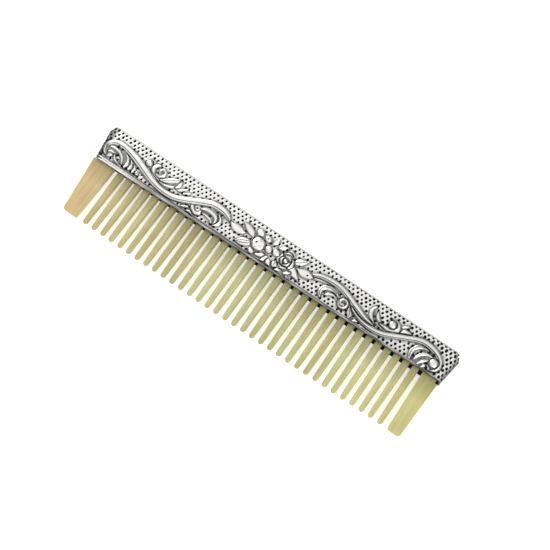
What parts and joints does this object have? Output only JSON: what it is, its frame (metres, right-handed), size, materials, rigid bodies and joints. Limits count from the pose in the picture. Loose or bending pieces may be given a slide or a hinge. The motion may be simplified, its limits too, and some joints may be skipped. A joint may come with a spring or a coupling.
{
  "type": "silver-mounted hair comb",
  "caption": "Slim dress comb: a pale horn blade sawn into fine teeth between broad end teeth, set in a rounded silver mount stamped with scrolling stems, leaves and flowers.",
  "frame": {"origin": "middle of the comb's footprint, on the surface that it lies on", "axes": "+X along the comb's length, +Y from the teeth to the spine, +Z out of the front panel; the comb lies on its back panel"},
  "size_m": [0.109, 0.0268, 0.005],
  "materials": {
    "stamped_silver": "stamped silver, bright on the high points and blackened in the grooves and punched dots",
    "plain_silver": "plain hand-polished silver with fine wear",
    "horn": "pale translucent horn, polished, with streaks along the blade",
    "pitch_cement": "dark set pitch"
  },
  "bodies": {
    "root": {"horn_comb": "horn", "front_panel": "stamped_silver", "back_panel": "stamped_silver", "left_end_cap": "stamped_silver", "right_end_cap": "stamped_silver", "spine_strip": "plain_silver", "front_edge_wire": "plain_silver", "back_edge_wire": "plain_silver", "cement_fill": "pitch_cement"}
  },
  "joints": []
}
